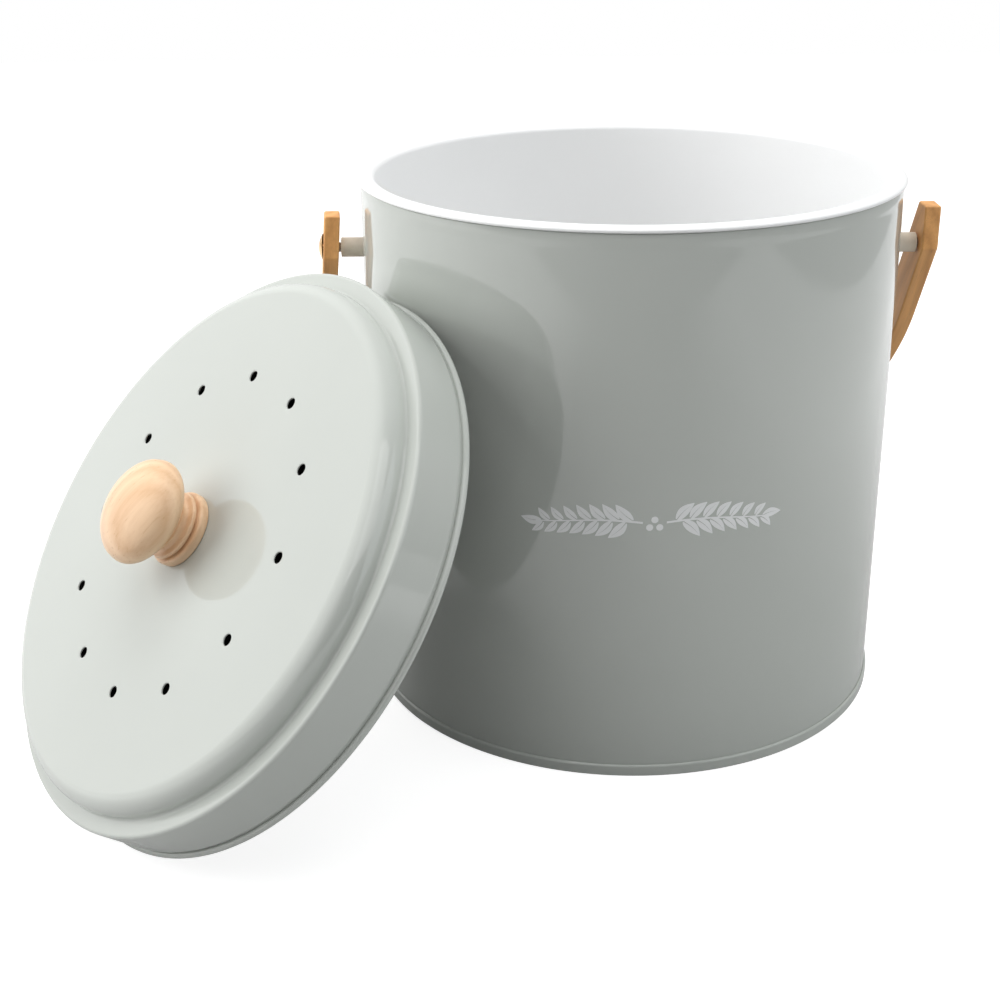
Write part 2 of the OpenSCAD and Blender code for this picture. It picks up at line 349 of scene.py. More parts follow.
def wood(name, light, dark, pore, along, ring_gap, roughness, pored=0.35):
    """Wood with growth rings, long streaks and pores.

    A larger along shortens the grain, ring_gap is in metres, and pored is the pores' strength.
    """
    material, nodes, shader, _ = surface(name, roughness=roughness)
    place = nodes.add("ShaderNodeAttribute", attribute_name="grain").outputs["Vector"]
    warp = nodes.noise(place, 1.0, 3, 0.55, stretch=(along * 9, 70, 70))
    split = nodes.add("ShaderNodeSeparateXYZ")
    nodes.link(place, split.inputs[0])
    # The rings lie aslant across the wood and drift slowly along it.
    slant_x, slant_y, slant_z = RING_SLANT
    across = nodes.math("MULTIPLY", split.outputs[1], slant_y / ring_gap)
    depth = nodes.math("MULTIPLY", split.outputs[2], slant_z / ring_gap)
    drift = nodes.math("MULTIPLY", split.outputs[0], slant_x / ring_gap)
    ring = nodes.math("ADD", nodes.math("ADD", across, depth), drift)
    ring = nodes.math("ADD", ring, nodes.math("MULTIPLY", warp, RING_WARP))
    band = nodes.math("PINGPONG", ring, 1.0)
    streak = nodes.noise(place, 1.0, 4, 0.6, stretch=(along * 30, 900, 900))
    rings = nodes.math("MULTIPLY", band, RING_SHARE)
    grain = nodes.math("ADD", rings, nodes.math("MULTIPLY", streak, STREAK_SHARE))
    base = nodes.ramp(grain, (0.25, dark), (0.75, light))
    pores = nodes.noise(place, 1.0, 2, 0.5, stretch=(along * 160, 3800, 3800))
    speck = nodes.remap(pores, 0.62, 0.72, 0.0, 1.0)
    colour = nodes.mix(nodes.math("MULTIPLY", speck, pored), base, pore)
    nodes.link(colour, shader.inputs["Base Color"])
    roughen(nodes, shader, streak, roughness - 0.06, roughness + 0.08)
    bump(nodes, shader, nodes.math("SUBTRACT", streak, speck), GRAIN_DEPTH)
    return material


def beige_paint():
    """Satin paint of the spacer tubes."""
    material, nodes, shader, place = surface("beige_paint", roughness=0.38)
    tone = nodes.noise(place, 300, 3)
    paint(nodes, shader, tone, (0.3, (0.74, 0.66, 0.55)), (0.7, (0.80, 0.72, 0.60)))
    bump(nodes, shader, nodes.noise(place, 1400, 2), 1.2e-5)
    return material


def metal(name, colour, roughness):
    """Plated or polished metal with fine wear."""
    material, nodes, shader, place = surface(name, roughness=roughness, metallic=1.0)
    wear = nodes.noise(place, WEAR_SCALE, 4)
    darker = tuple(c * 0.82 for c in colour)
    paint(nodes, shader, wear, (0.3, darker), (0.6, colour))
    roughen(nodes, shader, wear, roughness * 0.8, roughness * 1.4)
    bump(nodes, shader, wear, WEAR_DEPTH)
    return material


def screw_metal():
    """Brass outside the arms and steel between them and the bucket."""
    material, nodes, shader, place = surface("screw_metal", roughness=0.22, metallic=1.0)
    split = nodes.add("ShaderNodeSeparateXYZ")
    nodes.link(place, split.inputs[0])
    out = nodes.math("GREATER_THAN", nodes.math("ABSOLUTE", split.outputs[0], 0.0), ARM_OUT * MM)
    wear = nodes.noise(place, WEAR_SCALE, 4)
    brass = nodes.ramp(wear, (0.3, (0.66, 0.42, 0.20)), (0.6, (0.80, 0.54, 0.28)))
    steel = nodes.ramp(wear, (0.3, (0.28, 0.27, 0.26)), (0.6, (0.34, 0.33, 0.32)))
    nodes.link(nodes.mix(out, steel, brass), shader.inputs["Base Color"])
    roughen(nodes, shader, wear, 0.18, 0.3)
    bump(nodes, shader, wear, WEAR_DEPTH)
    return material


def cage_plastic():
    """Matt grey moulded plastic."""
    material, nodes, shader, place = surface("cage_plastic", roughness=0.45)
    tone = nodes.noise(place, 40, 3)
    paint(nodes, shader, tone, (0.3, (0.27, 0.275, 0.275)), (0.7, (0.31, 0.315, 0.315)))
    bump(nodes, shader, nodes.noise(place, 1600, 2), 2e-5)
    return material


def charcoal_felt():
    """Loose black carbon felt."""
    material, nodes, shader, place = surface("charcoal_felt", roughness=0.95)
    shader.inputs["Sheen Weight"].default_value = 0.25
    fibre = nodes.noise(place, 1300, 4, 0.7)
    paint(nodes, shader, fibre, (0.35, (0.008, 0.008, 0.008)), (0.7, (0.035, 0.035, 0.036)))
    bump(nodes, shader, fibre, 4e-4)
    return material


ENAMEL = enamel()
PLASTIC = white_plastic()
PRINT = print_white()
OILED_WOOD = wood(
    "oiled_wood",
    light=(0.86, 0.44, 0.155),
    dark=(0.65, 0.305, 0.10),
    pore=(0.30, 0.12, 0.04),
    along=1.0,
    ring_gap=0.0035,
    roughness=0.48,
)
PALE_WOOD = wood(
    "pale_maple",
    light=(0.84, 0.585, 0.375),
    dark=(0.72, 0.455, 0.26),
    pore=(0.50, 0.27, 0.13),
    along=0.6,
    ring_gap=0.0026,
    roughness=0.32,
    pored=0.08,
)
BEIGE = beige_paint()
SCREW = screw_metal()
ZINC = metal("zinc", (0.66, 0.67, 0.68), 0.3)
CAGE = cage_plastic()
FELT = charcoal_felt()

# ---------------------------------------------------------------- bucket

SHEET_T = 0.8
HEM_H = 6.3
HEM_SWELL = 0.12             # the hem folded inside shows as a faint swelling of the wall
HEM_STEPS = 12
HEM_CUT = 0.3                # slant of the hem's cut edge
BASE_UP = 3.2
SEAM_ROUND = 0.9
SEAM_TOP_ROUND = 1.0
SEAM_SINK = 0.1              # the seam grips the wall by this much


def bucket_wall():
    """Enamelled cylinder whose top edge is folded inward."""
    swell = []
    for i in range(HEM_STEPS):
        t = i / HEM_STEPS
        swell.append((WALL_R + HEM_SWELL * math.sin(math.pi * t) ** 2, EDGE_Z - HEM_H * (1 - t)))
    top = arc(WALL_R - SHEET_T, EDGE_Z - SHEET_T, SHEET_T, 0, 180, 8)
    wall_in = WALL_R - SHEET_T
    profile = (
        [(wall_in, SHEET_T), (WALL_R, SHEET_T)]
        + swell
        + top
        + [(WALL_R - 2 * SHEET_T, EDGE_Z - HEM_H), (wall_in, EDGE_Z - HEM_H - HEM_CUT)]
    )
    obj = lathe("bucket_shell", profile, turns=288)
    finish(obj, ENAMEL)
    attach(obj, "bucket")
    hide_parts("bucket_wall")


def bucket_foot():
    """Bottom plate whose edge is folded round the foot of the wall."""
    leg_in = WALL_R - 2 * SHEET_T
    out = SEAM_R
    grip_out = WALL_R - SEAM_SINK
    grip_in = WALL_R - SHEET_T + SEAM_SINK
    profile = (
        [(0, BASE_UP), (leg_in - 1.2, BASE_UP)]
        + arc(leg_in + 0.2, SEAM_ROUND, SEAM_ROUND, 200, 270, 6)
        + arc(out - SEAM_ROUND, SEAM_ROUND, SEAM_ROUND, 270, 360, 6)
        + arc(out - SEAM_TOP_ROUND, SEAM_H - SEAM_TOP_ROUND, SEAM_TOP_ROUND, 0, 80, 8)
        + [(WALL_R, SEAM_H - 0.15), (grip_out, SEAM_H - 0.5), (grip_out, SHEET_T)]
        + [(grip_in, SHEET_T), (grip_in, BASE_UP + SHEET_T), (0, BASE_UP + SHEET_T)]
    )
    obj = lathe("bucket_foot", profile, turns=288, closed=False)
    finish(obj, ENAMEL)
    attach(obj, "bucket")
    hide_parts("bucket_base")


# ---------------------------------------------------------------- liner

RIM_W = 6.9
LINER_T = 1.8
LINER_DRAFT = 6
LINER_BEND = 6
RIM_EDGE_R = 0.5             # rounding of the rim's lower outer edge
CROWN_UP = 0.7               # the crown's centre: out from the tub, and up from the steel
CROWN_IN = 2.2               # drop of the crown towards the mouth


def liner():
    """Plastic tub whose rounded rim lies on the edge of the steel."""
    mouth_r = RIM_R - RIM_W
    top_r = mouth_r + LINER_T
    foot_r = top_r - LINER_DRAFT
    slope = math.degrees(math.atan(LINER_DRAFT / (EDGE_Z - LINER_FOOT_Z)))
    bend_x, bend_z = foot_r - LINER_BEND, LINER_FOOT_Z + LINER_BEND
    crown_r = mouth_r + LINER_T + CROWN_UP
    crown_h = RIM_H - EDGE_Z - CROWN_UP
    profile = (
        [(0, LINER_FOOT_Z)]
        + arc(bend_x, bend_z, LINER_BEND, 270, 360 - slope, 8)
        + [(top_r, EDGE_Z), (RIM_R - RIM_EDGE_R, EDGE_Z)]
        + arc(RIM_R - RIM_EDGE_R, EDGE_Z + RIM_EDGE_R, RIM_EDGE_R, 290, 360, 3)
        + arc(crown_r, EDGE_Z + CROWN_UP, RIM_R - crown_r, 5, 90, 14, ry=crown_h)
        + arc(crown_r, RIM_H - CROWN_IN, crown_r - mouth_r, 100, 176, 10, ry=CROWN_IN)
        + arc(bend_x, bend_z, LINER_BEND - LINER_T, 360 - slope, 270, 8)
        + [(0, LINER_FOOT_Z + LINER_T)]
    )
    obj = lathe("liner_tub", profile, turns=288, closed=False)
    finish(obj, PLASTIC)
    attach(obj, "liner")
    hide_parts("liner")


# ---------------------------------------------------------------- lid

LID_H = 33
LEDGE_H = 24
FLAT_R = 99.5
LID_T = 0.7
SHOULDER_R = 7
CORNER_R = 1.4
VALLEY_R = 1.2
VALLEY_SINK = 0.2            # the valley lies this far below the ledge
SKIRT_GAP = 0.8              # from the liner's rim to the skirt
SKIRT_R = RIM_R + SKIRT_GAP + LID_T
PINCH = 0.55                 # the skirt draws in by this much above the bead
BEAD_R = 1.32
BEAD_C = SKIRT_R + 0.05      # radius of the bead's centre line
# (inward, up from the bead's top) along the groove between the skirt and the bead
GROOVE = ((0, 2.0), (0.12, 1.3), (PINCH - 0.06, 0.5), (PINCH, 0))
VENTS = 12
VENT_R = 2.2
VENT_RING = 64.25
VENT_START = math.radians(-3)     # where the first vent's share of the lid begins
VENT_BAND = (52, 77)         # the vents lie between these radii
SECTOR_STEPS = 20            # mesh steps round one vent's share of the lid
SIDE_STEPS = 8
HOLE_BLEND_R = 5.5           # the mesh turns round towards each vent within this radius
# (radius, depth) of the rings round a vent, from the outer face and from the inner one
VENT_RINGS_OUT = ((HOLE_BLEND_R, 0), (3.0, 0), (2.6, 0.02), (2.35, 0.08), (VENT_R, 0.25))
VENT_RINGS_IN = ((HOLE_BLEND_R, 0), (2.8, 0), (VENT_R, 0.05))


def lid_side(s):
    """The lid's profile from the flat top to the groove above the bead, s inside its outer face."""
    valley_x = FLAT_R + SHOULDER_R + VALLEY_R
    valley_z = LEDGE_H + VALLEY_R - VALLEY_SINK
    return (
        arc(FLAT_R, LID_H - SHOULDER_R, SHOULDER_R - s, 90, 4, 14)
        + arc(valley_x, valley_z, VALLEY_R + s, 184, 262, 8)
        + arc(SKIRT_R - CORNER_R, LEDGE_H - CORNER_R, CORNER_R - s, 96, 0, 10)
        + [(SKIRT_R - inward - s, 2 * BEAD_R + up) for inward, up in GROOVE]
    )


def vent_patch(bm, border, centre, steps):
    """Joins a border of vertices to a round hole; steps are (radius, height), outside first."""
    last = border
    for radius, height in steps:
        ring = []
        for v in border:
            away = (v.co.xy - centre).normalized()
            ring.append(bm.verts.new((*(centre + away * radius), height)))
        for i in range(len(ring)):
            n = (i + 1) % len(ring)
            bm.faces.new((last[i], last[n], ring[n], ring[i]))
        last = ring
    return last


def vent_face(bm, ring_in, ring_out, z, steps):
    """One face of the lid between two rings, with its vents; returns the edge of each hole."""
    turns = VENTS * SECTOR_STEPS
    inner, outer = VENT_BAND
    radii = [inner + (outer - inner) * i / SIDE_STEPS for i in range(1, SIDE_STEPS)]
    sides = []
    for k in range(VENTS):
        a = VENT_START + 2 * math.pi * k / VENTS
        sides.append([bm.verts.new((r * math.cos(a), r * math.sin(a), z)) for r in radii])
    edges = []
    for k in range(VENTS):
        a = VENT_START + 2 * math.pi * (k + 0.5) / VENTS
        centre = Vector((VENT_RING * math.cos(a), VENT_RING * math.sin(a)))
        spots = [(k * SECTOR_STEPS + i) % turns for i in range(SECTOR_STEPS + 1)]
        border = [ring_in[i] for i in spots]
        border += sides[(k + 1) % VENTS]
        border += [ring_out[i] for i in reversed(spots)]
        border += sides[k][::-1]
        edges.append(vent_patch(bm, border, centre, steps))
    return edges


def lid_shell():
    """Pressed sheet: flat top with vents, shoulder, valley, ledge, skirt, groove and bead."""
    inner, outer = VENT_BAND
    low = LID_H - LID_T
    bead_top = math.degrees(math.acos((SKIRT_R - PINCH - BEAD_C) / BEAD_R))
    bead_end = math.degrees(math.acos((SKIRT_R - LID_T - PINCH - BEAD_C) / BEAD_R)) - 360
    over = [(0, LID_H), (inner, LID_H), (outer, LID_H)] + held(lid_side(0))
    bead = arc(BEAD_C, BEAD_R, BEAD_R, bead_top, bead_end, 28)
    under = held(lid_side(LID_T))[::-1] + [(outer, low), (inner, low), (0, low)]
    profile = over + bead + under
    low_outer = len(profile) - 3
    bm = bmesh.new()
    turns = VENTS * SECTOR_STEPS
    rings = revolve(bm, profile, turns, VENT_START, closed=False, skip=(1, low_outer))
    steps = [(r, LID_H - depth) for r, depth in VENT_RINGS_OUT]
    tops = vent_face(bm, rings[1], rings[2], LID_H, steps)
    steps = [(r, low + depth) for r, depth in VENT_RINGS_IN]
    lows = vent_face(bm, rings[-2], rings[-3], low, steps)
    for top, bottom in zip(tops, lows):
        for i in range(len(top)):
            n = (i + 1) % len(top)
            bm.faces.new((top[i], top[n], bottom[n], bottom[i]))
    obj = new_object("lid_pressing", bm, LID_POSE)
    finish(obj, ENAMEL)
    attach(obj, "lid")
    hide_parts("lid_shell")


# ---------------------------------------------------------------- knob

KNOB_R = 20.3
KNOB_H = 30.4
KNOB_FOOT_R = 14.5
CAP_RISE = 11.5              # from the cap's widest place to its top
CAP_DROP = 9.6               # and to the neck below it
GRAIN_TILT = 8               # turn of the knob's grain about the Y and the Z axis, in degrees
GRAIN_TURN = 10


def add_grain(obj, places):
    """Stores each vertex's place in the wood, in metres, for the wood's material."""
    grain = obj.data.attributes.new("grain", "FLOAT_VECTOR", "POINT")
    for i, place in enumerate(places):
        grain.data[i].vector = place


def lid_knob():
    """Turned maple: foot ring, groove, second ring, neck and a domed cap."""
    cap_z = KNOB_H - CAP_RISE
    foot = KNOB_FOOT_R
    under_cap = [math.radians(a) for a in range(-62, 15, 4)]
    over_cap = [math.radians(a) for a in range(18, 91, 4)]
    profile = (
        [(0, 0), (foot - 1, 0)]
        + arc(foot - 0.8, 0.8, 0.8, 285, 360, 4)
        + arc(foot - 1.2, 2.6, 1.2, 0, 90, 6)
        + [(foot - 2.4, 3.85), (foot - 2.9, 4.0), (foot - 2.9, 4.3)]
        + arc(foot - 2.5, 5.4, 1.15, -62, 62, 8)
        + [(foot - 3.2, 6.7), (foot - 3.7, 7.3), (foot - 3.9, 8.2), (foot - 3.6, 9.1)]
        + [(KNOB_R * math.cos(a), cap_z + CAP_DROP * math.sin(a)) for a in under_cap]
        + [(KNOB_R * math.cos(a), cap_z + CAP_RISE * math.sin(a)) for a in over_cap]
        + [(0, KNOB_H)]
    )
    seat = LID_POSE @ Matrix.Translation((0, 0, LID_H * MM))
    bm = bmesh.new()
    revolve(bm, profile, 160, closed=False)
    obj = new_object("turned_knob", bm, seat)
    tilt = Matrix.Rotation(math.radians(GRAIN_TILT), 4, "Y")
    turn = Matrix.Rotation(math.radians(GRAIN_TURN), 4, "Z")
    into_wood = tilt @ turn @ seat.inverted()
    add_grain(obj, [into_wood @ v.co for v in obj.data.vertices])
    finish(obj, PALE_WOOD)
    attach(obj, "lid")
    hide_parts("lid_knob")


# ---------------------------------------------------------------- bail

SLAT_W = 20
SLAT_T = 6.6
SLAT_LOW = 8                 # from the pins to the slat's lower edge
ARM_IN = ARM_OUT - SLAT_T
REACH = 195
STRAIGHT = 40
NOSE_AT = 4.7
LEFT_NOSE_AT = 1.8           # the left end was cut a little shorter
TRACK_OVER = 30              # the slat's track begins this far before the left pin
BEND_STEPS = 180
SPLAY = 0.13                 # the left arm stands out by this share of the way from its pin
SPLAY_FADE = (15, 90)        # and goes back to the bow between these lengths
TWIST = 0.9                  # its upper edge stands out by this much more
TWIST_FADE = (60, 120)
NOSE_CUT = 18
EDGE_ROUND = 0.8
SLAT_STEP = 3.0
REST_GAP = 0.3


def smooth(x, low, high):
    """Rises smoothly from 0 at low to 1 at high."""
    t = max(0.0, min(1.0, (x - low) / (high - low)))
    return t * t * (3 - 2 * t)


def bail_pose():
    """Angle of the arms from upright when the bend rests on the back of the wall."""
    reach = math.hypot(REACH, SLAT_LOW)
    return math.asin((WALL_R + REST_GAP) / reach) + math.atan(SLAT_LOW / REACH)


def slat_track():
    """(length, inner point, outer point) along the bent slat, from beyond the left pin."""
    pairs = [((-ARM_IN, y), (-ARM_OUT, y)) for y in range(-TRACK_OVER, STRAIGHT, 2)]
    bend = REACH - STRAIGHT
    for i in range(BEND_STEPS + 1):
        a = math.pi * (1 - i / BEND_STEPS)
        c, s = math.cos(a), math.sin(a)
        inner = (ARM_IN * c, STRAIGHT + bend * s)
        outer = (ARM_OUT * c, STRAIGHT + (bend + SLAT_T) * s)
        pairs.append((inner, outer))
    pairs += [((ARM_IN, y), (ARM_OUT, y)) for y in range(STRAIGHT - 2, -TRACK_OVER - 1, -2)]
    track, length, last = [], -float(TRACK_OVER), None
    for inner, outer in pairs:
        middle = Vector(((inner[0] + outer[0]) / 2, (inner[1] + outer[1]) / 2))
        length += (middle - last).length if last is not None else 0
        last = middle
        track.append((length, Vector(inner), Vector(outer)))
    return track


def board_outline(total, hang):
    """The straight board's side view as (length, height) points; total is from pin to pin."""
    up = Vector((-math.cos(hang), math.sin(hang)))
    back = Vector((math.sin(hang), math.cos(hang)))
    p1 = Vector((-NOSE_AT, -SLAT_LOW))
    p2 = p1 + NOSE_CUT * up
    p3 = p2 + (SLAT_W - SLAT_LOW - p2.y) / back.y * back
    shorter = Vector((NOSE_AT - LEFT_NOSE_AT, 0))
    left = [p + shorter for p in (p1, p2, p3)]
    right = [Vector((total - p.x, p.y)) for p in (p3, p2, p1)]
    return left + right


def board(outline, total):
    """The straight board, its edges rounded and cut across at even steps for the bend."""
    bm = bmesh.new()
    inside = [bm.verts.new((p.x, p.y, 0)) for p in outline]
    outside = [bm.verts.new((p.x, p.y, SLAT_T)) for p in outline]
    bm.faces.new(inside[::-1])
    bm.faces.new(outside)
    for i in range(len(outline)):
        n = (i + 1) % len(outline)
        bm.faces.new((inside[i], inside[n], outside[n], outside[i]))
    bmesh.ops.bevel(bm, geom=bm.edges[:], offset=EDGE_ROUND, segments=4, profile=0.5,
                    affect="EDGES", clamp_overlap=True)
    for i in range(1, int(total / SLAT_STEP)):
        geometry = bm.verts[:] + bm.edges[:] + bm.faces[:]
        cut = (i * SLAT_STEP, 0, 0)
        bmesh.ops.bisect_plane(bm, geom=geometry, plane_co=cut, plane_no=(1, 0, 0))
    bm.verts.ensure_lookup_table()
    return bm


def bent(co, track, lengths):
    """Where a point of the straight board lies on the bent slat."""
    s, b, w = co
    last = len(track) - 1
    k = next((i for i, length in enumerate(lengths) if length >= s), last)
    k = max(1, min(last, k))
    t = (s - lengths[k - 1]) / (lengths[k] - lengths[k - 1])
    inner = track[k - 1][1].lerp(track[k][1], t)
    outer = track[k - 1][2].lerp(track[k][2], t)
    x, y = inner.lerp(outer, w / SLAT_T)
    turned = TWIST * (b + SLAT_LOW) / SLAT_W * (1 - smooth(s, *TWIST_FADE))
    x -= SPLAY * s * (1 - smooth(s, *SPLAY_FADE)) + turned
    return x, y, b


def bail():
    """A straight board with cut ends and rounded edges, bent to the bow and hung from its pins."""
    hang = bail_pose()
    track = slat_track()
    lengths = [t[0] for t in track]
    total = lengths[-1] - TRACK_OVER
    bm = board(board_outline(total, hang), total)
    places = [v.co * MM for v in bm.verts]
    for v in bm.verts:
        v.co = bent(v.co, track, lengths)
    pose = Matrix.Translation((0, 0, PIVOT_Z * MM)) @ Matrix.Rotation(hang - math.pi / 2, 4, "X")
    obj = new_object("bent_slat", bm, pose, sharp=60)
    add_grain(obj, places)
    finish(obj, OILED_WOOD)
    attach(obj, "bail")
    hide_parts("bail")


# ---------------------------------------------------------------- filter

PAD_R = 78
PAD_T = 8
PAD_LOW_ROUND = 2
PAD_TOP_ROUND = 2.5
PAD_CROWN = 0.1              # rise of the pad's middle
WASHER_T = 1                 # the knob's washer and screw head lie between the lid and the pad
SCREW_HEAD_H = 2.4
PAD_GAP = 0.3                # between the screw head and the pad
PAD_TOP = LID_H - LID_T - WASHER_T - SCREW_HEAD_H - PAD_GAP


def filter_pad():
    """Carbon felt disc, a little full between its edges."""
    low = PAD_TOP - PAD_T
    profile = (
        [(0, low)]
        + arc(PAD_R - PAD_LOW_ROUND, low + PAD_LOW_ROUND, PAD_LOW_ROUND, 270, 360, 5)
        + arc(PAD_R - PAD_TOP_ROUND, PAD_TOP - PAD_TOP_ROUND, PAD_TOP_ROUND, 0, 90, 6)
        + [(PAD_R * 0.6, PAD_TOP - PAD_CROWN), (0, PAD_TOP)]
    )
    obj = lathe("charcoal_pad", profile, turns=144, closed=False, pose=LID_POSE)
    finish(obj, FELT)
    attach(obj, "filter_cage")
    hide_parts("filter_pad")


# ---------------------------------------------------------------- printed sprig

SPRIG_AZIMUTH = -88.0        # degrees round the bucket, at the middle of the sprig
SPRIG_Z = 110.0
SPRIG_HALF = 51.0            # half its length along the wall
INK_LOW = 0.03               # the ink lies between these heights over the wall
INK_HIGH = 0.10
STEM_FROM = 4.5
STEM_SHORT = 10              # the stem is this much shorter than half the sprig
STEM_HALF = 0.42             # half its thickness at the root
STEM_STEPS = 48
LEAF_PAIRS = 7
LEAF_FROM = 8
LEAF_GAP = 5.3
LEAF_STAGGER = 2.6
LEAF_LEAN = 44
LEAF_SIZE = (9.6, 3.9)       # length and width of the first leaves
LEAF_SHRINK = 0.055          # from each pair to the next
LEAF_OFF = 0.3               # from the stem's middle to a leaf's root
LEAF_STEPS = 12
LEAF_CURL = 0.54
VEIN_GAP = 0.16              # half the bare vein's width at the root
TIP_SHORT = 8                # the last leaf begins this far before the sprig's end
TIP_SIZE = (8.5, 3.4)
TIP_LEAN = 4
BERRIES = ((0, 1.7), (-1.9, -1.4), (1.9, -1.4))
BERRY_R = 1.35
DOT_STEPS = 24


def on_wall(u, v, lift):
    """The point that lies u along the wall and v up from the sprig's middle, in mm."""
    a = math.radians(SPRIG_AZIMUTH) + u / WALL_R
    r = WALL_R + lift
    return Vector((r * math.cos(a), r * math.sin(a), SPRIG_Z + v))


def ink(bm, left, right):
    """A thin slab of ink between two rows of (u, v) points."""
    rows = []
    for lift in (INK_HIGH, INK_LOW):
        rows.append([(bm.verts.new(on_wall(*a, lift)), bm.verts.new(on_wall(*b, lift)))
                     for a, b in zip(left, right)])
    top, low = rows
    for i in range(len(left) - 1):
        (a, b), (c, d) = top[i], top[i + 1]
        (e, f), (g, h) = low[i], low[i + 1]
        for face in ((a, b, d, c), (e, g, h, f), (a, c, g, e), (b, f, h, d)):
            bm.faces.new(face)
    (a, b), (e, f) = top[0], low[0]
    bm.faces.new((a, e, f, b))
    (a, b), (e, f) = top[-1], low[-1]
    bm.faces.new((a, b, f, e))


def stem_height(u):
    """Height of the wavy stem at u."""
    return 1.3 * math.sin(u / SPRIG_HALF * math.pi * 1.5)


def leaf(bm, root, angle, length, width):
    """A pointed leaf in two halves with a bare vein between them."""
    along = Vector((math.cos(angle), math.sin(angle)))
    side = Vector((-along.y, along.x))
    for sign in (1, -1):
        vein, edge = [], []
        for i in range(LEAF_STEPS + 1):
            t = 0.04 + 0.96 * i / LEAF_STEPS
            centre = root + along * length * t + side * LEAF_CURL * math.sin(math.pi * t)
            swell = math.sin(math.pi * t ** 0.85) ** 0.9
            gap = VEIN_GAP * (1 - t)
            vein.append(tuple(centre + side * sign * gap))
            edge.append(tuple(centre + side * sign * (gap + 0.02 + width / 2 * swell)))
        ink(bm, vein, edge)


def dot(bm, centre, radius):
    """A round spot of ink."""
    left, right = [], []
    for i in range(DOT_STEPS + 1):
        a = math.pi * (0.02 + 0.96 * i / DOT_STEPS)
        x, y = radius * math.cos(a), radius * math.sin(a)
        left.append((centre[0] + x, centre[1] + y))
        right.append((centre[0] + x, centre[1] - y))
    ink(bm, left, right)


def leaning(degrees, sign):
    """The direction that leans by so much from the way a half of the sprig grows."""
    angle = math.radians(degrees)
    return angle if sign > 0 else math.pi - angle


def sprig():
    """A plain leafy spray, mirrored about its middle."""
    bm = bmesh.new()
    for sign in (1, -1):
        shares = [i / STEM_STEPS for i in range(STEM_STEPS + 1)]
        us = [STEM_FROM + (SPRIG_HALF - STEM_SHORT) * t for t in shares]
        thick = [STEM_HALF * (1 - 0.5 * t) for t in shares]
        upper = [(sign * u, stem_height(u) + t) for u, t in zip(us, thick)]
        lower = [(sign * u, stem_height(u) - t) for u, t in zip(us, thick)]
        ink(bm, upper, lower)
        for k in range(LEAF_PAIRS):
            size = 1 - LEAF_SHRINK * k
            for lean in (1, -1):
                u = LEAF_FROM + k * LEAF_GAP + (0 if lean > 0 else LEAF_STAGGER)
                root = Vector((sign * u, stem_height(u) + LEAF_OFF * lean))
                length, width = LEAF_SIZE
                leaf(bm, root, leaning(LEAF_LEAN * lean, sign), length * size, width * size)
        tip = SPRIG_HALF - TIP_SHORT
        leaf(bm, Vector((sign * tip, stem_height(tip))), leaning(TIP_LEAN, sign), *TIP_SIZE)
    for spot in BERRIES:
        dot(bm, spot, BERRY_R)
    obj = new_object("printed_sprig", bm)
    finish(obj, PRINT)
    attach(obj, "bucket")


# ---------------------------------------------------------------- build


def carried_over():
    """Finishes of the CAD nodes that stay as they are."""
    finishes = {
        BEIGE: ("spacer_left", "spacer_right"),
        SCREW: ("screw_left", "screw_right"),
        ZINC: ("washer_left", "washer_right", "nut_left", "nut_right",
               "knob_screw", "knob_washer", "filter_hooks"),
        CAGE: ("filter_cage",),
    }
    for material, names in finishes.items():
        for name in names:
            finish(frame["nodes"][name], material)


bucket_wall()
bucket_foot()
liner()
lid_shell()
lid_knob()
bail()
filter_pad()
sprig()
carried_over()

# ---------------------------------------------------------------- floor, light and camera

FLOOR = (-2.2, 0.8, -0.75, 2.2)      # left, right, front and back edges of the table, in metres
FLOOR_ALBEDO = 0.52
FLOOR_GLOW = 0.80                     # what the camera sees added, so that the floor is white
FLOOR_GLOSS_GLOW = (0.12, 0.75)       # what gloss sees added, at the middle and at the sides
FLOOR_GLOSS_SPAN = (0.2, 0.45)        # where it rises, in metres to either side
STUDIO_FRONT = 0.02                   # the studio before and behind the object
STUDIO_BACK = 0.5
STUDIO_TURN = (-0.75, 0.15)           # between these Y directions it brightens
WALL_GLOW = 1.4                       # the white wall on the left
WALL_TURN = (0.0, -0.55)              # between these X directions it appears
GROUND_GLOW = 0.8


def grey(level):
    """A colour without hue."""
    return (level, level, level)


